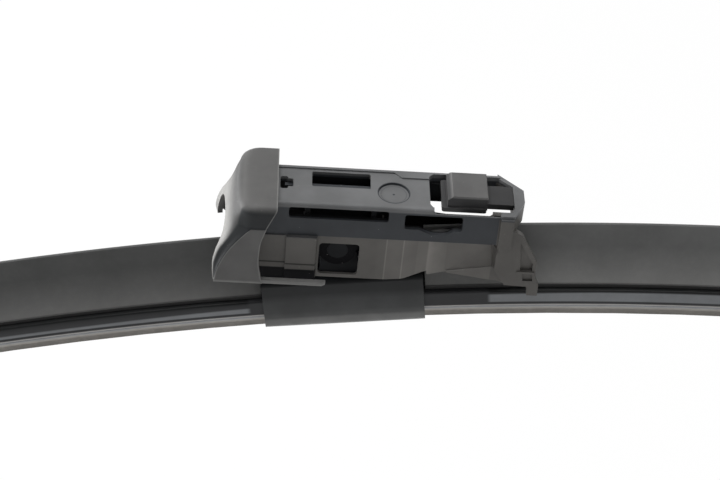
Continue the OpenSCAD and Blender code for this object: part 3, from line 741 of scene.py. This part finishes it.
def bow_tree():
    """Geometry nodes that lay a straight extrusion along the blade's bow."""
    tree = bpy.data.node_groups.get("lay_on_bow")
    if tree:
        return tree
    tree = bpy.data.node_groups.new("lay_on_bow", "GeometryNodeTree")
    for name, kind in (("Extrusion", "Geometry"), ("Bow Radius", "Float"), ("Pin Height", "Float"),
                       ("Finish", "Material")):
        tree.interface.new_socket(name, in_out="INPUT", socket_type="NodeSocket" + kind)
    tree.interface.new_socket("Bowed", in_out="OUTPUT", socket_type="NodeSocketGeometry")
    n = Nodes(tree)
    given = n.add("NodeGroupInput").outputs
    made = n.add("NodeGroupOutput")
    x, y, z = parts(n, n.add("GeometryNodeInputPosition").outputs[0])
    turn = n.math("DIVIDE", x, given["Bow Radius"])
    reach = n.math("ADD", z, given["Bow Radius"])
    along = n.math("MULTIPLY", reach, n.math("SINE", turn))
    high = n.math("MULTIPLY", reach, n.math("COSINE", turn))
    high = n.math("SUBTRACT", high, given["Bow Radius"], given["Pin Height"])
    there = n.add("ShaderNodeCombineXYZ", X=along, Y=y, Z=high)
    move = n.add("GeometryNodeSetPosition", Geometry=given["Extrusion"], Position=there.outputs[0])
    real = n.add("GeometryNodeRealizeInstances", Geometry=move.outputs[0])
    coat = n.add("GeometryNodeSetMaterial", Geometry=real.outputs[0], Material=given["Finish"])
    n.put(made.inputs[0], coat.outputs[0])
    return tree


def set_input(modifier, name, value):
    for item in modifier.node_group.interface.items_tree:
        if item.item_type == "SOCKET" and item.in_out == "INPUT" and item.name == name:
            modifier[item.identifier] = value
            return
    raise RuntimeError("the tree has no input " + name)


def bowed(name, section, start, end, mat, blade):
    """A section drawn as (y, z) above the ledge, extruded from start to end along the bow."""
    count = max(2, round((end - start) / blade.step))
    work = bmesh.new()
    rings = []
    for i in range(count + 1):
        x = start + (end - start) * i / count
        rings.append([work.verts.new((x, y, z)) for y, z in section])
    for one, two in zip(rings, rings[1:]):
        for i in range(len(section)):
            j = (i + 1) % len(section)
            work.faces.new((one[i], two[i], two[j], one[j]))
    work.faces.new(rings[0])
    work.faces.new(list(reversed(rings[-1])))
    bmesh.ops.recalc_face_normals(work, faces=work.faces)
    obj = shaped(work, name)
    bend = obj.modifiers.new("bow", "NODES")
    bend.node_group = bow_tree()
    set_input(bend, "Bow Radius", blade.bow)
    set_input(bend, "Pin Height", blade.pin_height)
    set_input(bend, "Finish", mat)
    baked(obj)
    smooth(obj, 22.0)
    return obj


def arc(a, b, sag, count):
    """Points from a to b, hollowed by sag to the right of the way."""
    dx, dy = b[0] - a[0], b[1] - a[1]
    run = math.hypot(dx, dy)
    out = []
    for i in range(count + 1):
        t = i / count
        s = 4 * sag * t * (1 - t) / run
        out.append((a[0] + dx * t + dy * s, a[1] + dy * t - dx * s))
    return out


def spoiler_section(blade):
    """Outline of a spoiler as (y, z), from its near foot over the ridge and round the groove."""
    half, crease, ridge, gap = blade.foot / 2, blade.crease, blade.ridge, blade.gap
    foot = 1.0 * MM
    near = arc((-half + 0.3 * MM, foot), (1.0 * MM, crease), blade.hollow, 14)
    far = arc((3.2 * MM, crease), (half, foot), -0.4 * MM, 6)
    # Each point of the ridge as y and how far it lies below the ridge, in millimetres
    crown = ((1.9, 0.35), (2.02, 0.12), (2.25, 0.0), (2.6, 0.0), (2.8, 0.15), (2.9, 0.4))
    outline = [(-half, gap), (-half + 0.1 * MM, foot)] + near + [(1.12 * MM, crease + 0.35 * MM)]
    outline += [(y * MM, ridge - drop * MM) for y, drop in crown]
    outline += far + [(half, gap)]
    # The groove over the tee rail of the carrier: its neck, and its head above that
    neck, head = 1.52 * MM, 2.32 * MM
    low, high = 0.69 * MM, 1.92 * MM
    groove = [(neck, gap), (neck, low), (head, low), (head, high)]
    return outline + groove + [(-y, z) for y, z in reversed(groove)]


# Hood


def between(table, z):
    """The other columns of a table at z, on a smooth curve through its rows."""
    last = len(table) - 1
    z = min(max(z, table[0][0]), table[last][0])
    i = max(k for k in range(last) if table[k][0] <= z)
    before, low, high, after = (table[min(max(k, 0), last)] for k in range(i - 1, i + 3))
    step = high[0] - low[0]
    t = (z - low[0]) / step
    out = []
    for prior, start, end, later in zip(before[1:], low[1:], high[1:], after[1:]):
        rise = (end - start) / step
        way_in = (start - prior) / (low[0] - before[0]) if before is not low else rise
        way_out = (later - end) / (after[0] - high[0]) if after is not high else rise
        # A slope of nothing where the table turns back, and the gentler one elsewhere
        slope_in, slope_out = (
            0.0 if way * rise <= 0 else math.copysign(min(abs(way), abs(rise)), rise) * step
            for way in (way_in, way_out)
        )
        out.append((2 * t**3 - 3 * t**2 + 1) * start + (t**3 - 2 * t**2 + t) * slope_in
                   + (3 * t**2 - 2 * t**3) * end + (t**3 - t**2) * slope_out)
    return out


def rounded_corner(a, b, c, reach, count):
    """Points of a soft corner at b, on a quadratic curve between lines from a and to c."""
    ends = []
    for other in (a, c):
        run = math.dist(b, other)
        share = min(reach, 0.45 * run) / run
        ends.append([p + (q - p) * share for p, q in zip(b, other)])
    out = []
    for k in range(count + 1):
        t = k / count
        out.append(tuple((1 - t) ** 2 * p + 2 * t * (1 - t) * q + t * t * r
                         for p, q, r in zip(ends[0], b, ends[1])))
    return out


def hood_half_ring(z, inset, behind):
    """One near half of the hood in plan at height z, from the front edge to the rear middle."""
    half, side_x, corner_x, corner_y, middle_x, side_soft, back_soft = between(HOOD_ROWS, z)
    front = (between(HOOD_FRONT, z)[0], -(half - inset))
    side_end = (side_x + behind * 0.9, -(half - inset))
    corner = (corner_x + behind, -(corner_y - inset))
    middle = middle_x + behind
    first = rounded_corner(front, side_end, corner, side_soft, 5)
    points = [(front[0] + (first[0][0] - front[0]) * k / 5, front[1]) for k in range(5)] + first
    turn = rounded_corner(side_end, corner, (middle, -3.0), back_soft, 8)
    last = points[-1]
    # The band between both corners is slightly hollow, less so from 2 mm up and flat from 9 mm
    for k in (1, 2, 3):
        t = k / 4
        dip = 0.5 * t * (1 - t) * max(0.0, 1.0 - max(0.0, z - 2.0) / 7.0)
        points.append(tuple(p + (q - p) * t + dip for p, q in zip(last, turn[0])))
    points += turn
    start = points[-1]
    for k in range(1, 7):
        t = k / 6
        points.append((middle + (start[0] - middle) * (1 - t) ** 2, start[1] * (1 - t)))
    return points


def hood_levels(hood):
    """Heights of the rings in millimetres, and how far each lies in from the sides and the back."""
    low, shoulder, top = HOOD_ROWS[0][0], HOOD_ROWS[-1][0], hood.top / MM
    side, back = hood.side_round / MM, hood.back_round / MM
    crease = {10.1, 10.25, 10.4}
    heights = {round(low + (shoulder - low) * k / 25, 3) for k in range(26)} | crease
    levels = [(z, 0.0, 0.0) for z in sorted(heights)]
    for k in range(1, 9):
        turn = math.radians(90 * k / 8)
        drawn_in = 1 - math.cos(turn)
        levels.append((shoulder + (top - shoulder) * math.sin(turn), side * drawn_in, back * drawn_in))
    return levels + [(top, side + 0.5, back + 0.5)]


def edges_of(faces):
    """The edges of faces, each once, in the same order on every run."""
    return list(dict.fromkeys(edge for face in faces for edge in face.edges))


def open_up(work, planes, wanted):
    """Cuts the faces of an open shell along planes and drops those that lie behind all of them."""
    for point, normal in planes:
        faces = [face for face in work.faces if wanted(face.calc_center_median())]
        verts = list(dict.fromkeys(vert for face in faces for vert in face.verts))
        bmesh.ops.bisect_plane(work, geom=faces + edges_of(faces) + verts, plane_co=point,
                               plane_no=normal)
    gone = []
    for face in work.faces:
        middle = face.calc_center_median()
        if wanted(middle) and all((middle - point).dot(normal) < 0 for point, normal in planes):
            gone.append(face)
    bmesh.ops.delete(work, geom=gone, context="FACES")


def arch_planes(hood):
    """Planes that touch the rounded arch over the blade all round."""
    half, crown, radius = hood.arch_width / 2, hood.arch_height, 2.0 * MM
    planes = [(Vector((0, 0, crown)), Vector((0, 0, 1)))]
    for side in (-1, 1):
        for degrees in (0, 18, 36, 54, 72):
            turn = math.radians(degrees)
            normal = Vector((0, side * math.cos(turn), math.sin(turn)))
            middle = Vector((0, side * (half - radius), crown - radius))
            planes.append((middle + normal * radius, normal))
    return planes


def hood_shell(hood):
    """The level hood: a lofted open shell with its arch, a wall, rounded edges and two rims."""
    work = bmesh.new()
    rings = []
    for z, inset, behind in hood_levels(hood):
        half = hood_half_ring(z, inset, behind)
        full = half + [(x, -y) for x, y in reversed(half[:-1])]
        rings.append([work.verts.new((x * MM, y * MM, z * MM)) for x, y in full])
    for under, over in zip(rings, rings[1:]):
        for i in range(len(under) - 1):
            work.faces.new((under[i], over[i], over[i + 1], under[i + 1]))
    last = rings[-1]
    for i in range(len(last) // 2):
        j = len(last) - 1 - i
        if j - i > 2:
            work.faces.new((last[i], last[j], last[j - 1], last[i + 1]))
        elif j - i == 2:
            work.faces.new((last[i], last[j], last[i + 1]))
    open_up(work, arch_planes(hood), lambda at: at.x < -22.0 * MM)
    # The far skirt ends in a slant at the rear
    slant = (Vector((-24.6 * MM, 0.0, -5.2 * MM)), Vector((0.56, 0.0, 0.74)).normalized())
    open_up(work, [slant], lambda at: at.y > 5.0 * MM and at.x < -20.0 * MM)
    obj = shaped(work, "hood_shell")
    wall = obj.modifiers.new("wall", "SOLIDIFY")
    wall.thickness = hood.wall
    wall.offset = -1.0
    wall.use_quality_normals = True
    baked(obj)
    rounded(obj, hood.edge, 50.0)
    for vert in obj.data.vertices:
        vert.co.z = max(vert.co.z, HOOD_ROWS[0][0] * MM)
    add_rims(obj, hood)
    smooth(obj, 34.0)
    flat_first(obj)
    return obj


def add_rims(obj, hood):
    """The bar along the bottom of each side, cut slanting at its front end."""
    low, high = -5.75 * MM, -4.68 * MM
    back, front = -23.9 * MM, hood.rim_front
    cut_x, cut_y = 0.9 * MM, 0.6 * MM
    work = bmesh.new()
    work.from_mesh(obj.data)
    for side in (-1, 1):
        outer, inner = side * 12.16 * MM, side * 10.95 * MM
        plan = ((back, outer), (front - cut_x, outer), (front, outer - side * cut_y), (front, inner),
                (back, inner))
        below = [work.verts.new((x, y, low)) for x, y in plan]
        above = [work.verts.new((x, y, high)) for x, y in plan]
        count = len(plan)
        faces = [work.faces.new((below[i], below[(i + 1) % count], above[(i + 1) % count], above[i]))
                 for i in range(count)]
        faces += [work.faces.new(list(reversed(below))), work.faces.new(above)]
        bmesh.ops.recalc_face_normals(work, faces=faces)
        bmesh.ops.bevel(work, geom=edges_of(faces), offset=0.15 * MM, segments=2, affect="EDGES",
                        profile=0.5)
    bmesh.ops.dissolve_degenerate(work, dist=0.001 * MM, edges=work.edges)
    work.to_mesh(obj.data)
    work.free()


# Operators


class WIPER_OT_stage(bpy.types.Operator):
    """Camera at the photograph's angle, soft light and a pale floor"""

    bl_idname = "wiper.stage"
    bl_label = "Studio"

    def execute(self, context):
        studio = context.scene.wiper_studio
        context.scene.view_settings.view_transform = "Standard"
        self.camera(context, studio)
        self.lamps(studio)
        self.floor(studio)
        self.sky(context, studio)
        return {"FINISHED"}

    def camera(self, context, studio):
        level = math.cos(studio.elevation)
        back = Vector((math.sin(studio.azimuth) * level, -math.cos(studio.azimuth) * level,
                       math.sin(studio.elevation)))
        right = Vector((math.cos(studio.azimuth), math.sin(studio.azimuth), 0.0))
        up = back.cross(right)
        across = math.cos(studio.roll) * right - math.sin(studio.roll) * up
        upward = math.sin(studio.roll) * right + math.cos(studio.roll) * up
        turn = Matrix((across, upward, back)).transposed().to_4x4()
        lens = bpy.data.cameras.new("camera")
        lens.lens = studio.focal
        lens.sensor_width = 36.0
        lens.clip_start = 0.01
        camera = link("camera", lens)
        camera.matrix_world = Matrix.Translation(studio.place) @ turn
        context.scene.camera = camera

    def lamps(self, studio):
        # Name, power, place and width of each soft light, in metres
        for name, watts, place, width in (
            ("key", studio.key, (0.06, 0.16, 0.60), 0.60),
            ("rim", studio.rim, (-0.50, 0.16, 0.12), 0.40),
            ("fill", studio.fill, (0.30, -0.60, 0.20), 0.50),
        ):
            lamp = bpy.data.lights.new(name, "AREA")
            lamp.energy = watts
            lamp.size = width
            obj = link(name, lamp)
            obj.location = place
            obj.rotation_euler = (-Vector(place)).to_track_quat("-Z", "Y").to_euler()

    def floor(self, studio):
        """A matt floor that shows nearly white and still takes the shadow."""
        half = 4.0
        mesh = bpy.data.meshes.new("floor")
        corners = ((-half, -half), (half, -half), (half, half), (-half, half))
        mesh.from_pydata([(x, y, studio.floor_z) for x, y in corners], [], [(0, 1, 2, 3)])
        mat = bpy.data.materials.new("pale floor")
        n = emptied(mat)
        out = n.add("ShaderNodeOutputMaterial")
        matt = n.add("ShaderNodeBsdfDiffuse", Color=(0.86, 0.86, 0.86))
        glow = n.add("ShaderNodeEmission", Color=(1.0, 1.0, 1.0), Strength=1.0)
        seen = n.math("MULTIPLY", seen_by(n, "Camera", "Glossy", "Transmission"), 0.97)
        n.put(out.inputs[0], mixed(n, seen, matt, glow))
        mesh.materials.append(mat)
        link("floor", mesh)

    def sky(self, context, studio):
        """An even soft light, and a white background behind it."""
        world = bpy.data.worlds.new("studio")
        context.scene.world = world
        n = emptied(world)
        out = n.add("ShaderNodeOutputWorld")
        soft = n.add("ShaderNodeBackground", Color=(1.0, 1.0, 1.0), Strength=studio.ambient)
        white = n.add("ShaderNodeBackground", Color=(1.0, 1.0, 1.0), Strength=1.0)
        n.put(out.inputs[0], mixed(n, seen_by(n, "Camera", "Transmission"), soft, white))


class WIPER_OT_adapter(bpy.types.Operator):
    """Adapter body with moulded edges"""

    bl_idname = "wiper.adapter"
    bl_label = "Adapter body"

    def execute(self, context):
        plastic = context.scene.wiper_plastic
        # Tones by height: painted light on the top, painted shade on the upper walls
        stops = ((-12.0, plastic.skirt), (SPLIT_Z - 0.2, plastic.skirt), (SPLIT_Z + 0.1, plastic.walls),
                 (WALL_TOP_Z, plastic.walls), (WALL_TOP_Z + 0.4, plastic.plate))
        # Painted shade inside the adapter, darker towards its bottom
        deep = ((-12.0, plastic.pit), (SPLIT_Z, plastic.deep), (8.5, plastic.inside),
                (14.0, plastic.inside))
        # Painted highlights on the folds of the lower walls
        folds = tuple((x, tuple(share * part for part in plastic.skirt)) for x, share in FOLD_HIGHLIGHTS)
        patches = ((("x", folds), folded_wall), (plastic.skirt, guide_end), (plastic.walls, gate_mark),
                   (plastic.foot, shaded_foot), (("z", deep), inside_body))
        mat = moulded("adapter plastic", plastic.walls, plastic, stops=stops, patches=patches,
                      tilt=context.scene.wiper_hood.tilt, matt=(shaded_foot, inside_body))
        obj = softened("adapter_body", "adapter_shell", plastic.edge, crease=5.0)
        finish_piece(obj, "adapter", mat, "adapter_body")
        return {"FINISHED"}


class WIPER_OT_hood(bpy.types.Operator):
    """End hood: a lofted shell with a smooth round back, flared sides and a bottom rim"""

    bl_idname = "wiper.hood"
    bl_label = "End hood"

    def execute(self, context):
        plastic = context.scene.wiper_plastic
        hood = context.scene.wiper_hood
        # Painted light and shade on the one hood plastic: darker back and upper sides, pale lower rear,
        # edges and crease
        patches = ((plastic.back, hood_back), (plastic.tail, hood_tail), (plastic.band, hood_band),
                   (plastic.lines, hood_lines))
        mat = moulded("hood plastic", plastic.hood, plastic, rough=0.52, tilt=hood.tilt, patches=patches)
        obj = hood_shell(hood)
        # Drawn level, the hood is turned nose down about the pin
        obj.data.transform(Matrix.Rotation(hood.tilt, 4, "Y"))
        finish_piece(obj, "adapter", mat, "end_hood")
        return {"FINISHED"}


class WIPER_OT_button(bpy.types.Operator):
    """Release button"""

    bl_idname = "wiper.button"
    bl_label = "Release button"

    def execute(self, context):
        plastic = context.scene.wiper_plastic
        # Painted light on the button's top and painted shade on its sides
        stops = ((8.0, plastic.flank), (BUTTON_TOP_Z, plastic.flank),
                 (BUTTON_TOP_Z + 0.4, plastic.button))
        mat = moulded("button plastic", plastic.button, plastic, rough=0.5, stops=stops,
                      tilt=context.scene.wiper_hood.tilt)
        obj = softened("release_button", "button_shell", plastic.edge)
        finish_piece(obj, "button", mat, "release_button")
        return {"FINISHED"}


class WIPER_OT_clamp(bpy.types.Operator):
    """Steel clamp, bracket, pin, rivets and spring rails"""

    bl_idname = "wiper.clamp"
    bl_label = "Clamp and pivot"

    def execute(self, context):
        blade = context.scene.wiper_blade
        obj = softened("blade_clamp", "clamp_shell", context.scene.wiper_plastic.edge)
        finish_piece(obj, "blade", coated("clamp coating", blade, CLAMP_LIGHT_AND_SHADE, 0.2), "blade_clamp")
        paint(coated("pivot coating", blade, PIVOT_COAT, 0.05), "pivot_pin", "pivot_bracket",
              "bracket_rivet_left", "bracket_rivet_right")
        paint(steel("rail steel", blade.rail, 0.38), "spring_rail_near", "spring_rail_far")
        return {"FINISHED"}


class WIPER_OT_carrier(bpy.types.Operator):
    """Carrier profile and end caps"""

    bl_idname = "wiper.carrier"
    bl_label = "Carrier and caps"

    def execute(self, context):
        plastic = context.scene.wiper_plastic
        mat = extruded("carrier plastic", context.scene.wiper_blade,
                       lambda n, at, level: carrier_tone(n, at, level, plastic), 0.1, 0.28, 0.42)
        paint(mat, "carrier_profile")
        paint(moulded("cap plastic", plastic.caps, plastic), "end_cap_left", "end_cap_right")
        return {"FINISHED"}


class WIPER_OT_spoilers(bpy.types.Operator):
    """Left and right spoilers, swept along the bow"""

    bl_idname = "wiper.spoilers"
    bl_label = "Spoilers"

    def execute(self, context):
        blade = context.scene.wiper_blade
        rubber = context.scene.wiper_rubber
        tip = blade.length / 2 - blade.cap_wall - blade.gap
        edge = blade.clamp_length / 2 + 0.4 * MM
        section = spoiler_section(blade)
        for side, start, end, foot, skin in (
            ("left", -tip, blade.clamp_shift - edge, rubber.left_foot, rubber.left),
            ("right", blade.clamp_shift + edge, tip, rubber.right_foot, rubber.right),
        ):
            # Painted light and shade by height: a shaded underside, a lighter foot that faces the light,
            # a darker upper face
            bands = ((0.0, rubber.under), (0.9, rubber.under), (1.2, foot), (9.0, skin), (15.0, skin))
            mat = extruded("spoiler rubber " + side, blade, bands, rubber.bloom * 0.4)
            obj = bowed("spoiler_skin_" + side, section, start, end, mat, blade)
            finish_piece(obj, "blade", mat, "spoiler_" + side)
        return {"FINISHED"}


class WIPER_OT_lip(bpy.types.Operator):
    """Wiper rubber"""

    bl_idname = "wiper.lip"
    bl_label = "Wiper rubber"

    def execute(self, context):
        blade = context.scene.wiper_blade
        bloom = context.scene.wiper_rubber.bloom
        paint(extruded("lip rubber", blade, LIP_BANDS, bloom), "wiper_rubber")
        return {"FINISHED"}


class WIPER_PT_panel(bpy.types.Panel):
    """Lists the steps that dress the blade"""

    bl_idname = "WIPER_PT_panel"
    bl_label = "Wiper blade"
    bl_space_type = "VIEW_3D"
    bl_region_type = "UI"
    bl_category = "Wiper blade"

    def draw(self, context):
        for step in STEPS:
            self.layout.operator(step.bl_idname)


STEPS = (
    WIPER_OT_stage, WIPER_OT_adapter, WIPER_OT_hood, WIPER_OT_button, WIPER_OT_clamp,
    WIPER_OT_carrier, WIPER_OT_spoilers, WIPER_OT_lip,
)
SETTINGS = {
    "wiper_studio": StudioSettings,
    "wiper_plastic": PlasticSettings,
    "wiper_hood": HoodSettings,
    "wiper_rubber": RubberSettings,
    "wiper_blade": BladeSettings,
}


def register():
    for name, group in SETTINGS.items():
        bpy.utils.register_class(group)
        setattr(bpy.types.Scene, name, bpy.props.PointerProperty(type=group))
    for step in STEPS:
        bpy.utils.register_class(step)
    bpy.utils.register_class(WIPER_PT_panel)


def unregister():
    bpy.utils.unregister_class(WIPER_PT_panel)
    for step in reversed(STEPS):
        bpy.utils.unregister_class(step)
    for name, group in SETTINGS.items():
        delattr(bpy.types.Scene, name)
        bpy.utils.unregister_class(group)


def main():
    register()
    for step in STEPS:
        group, name = step.bl_idname.split(".")
        getattr(getattr(bpy.ops, group), name)()


if __name__ == "__main__":
    main()
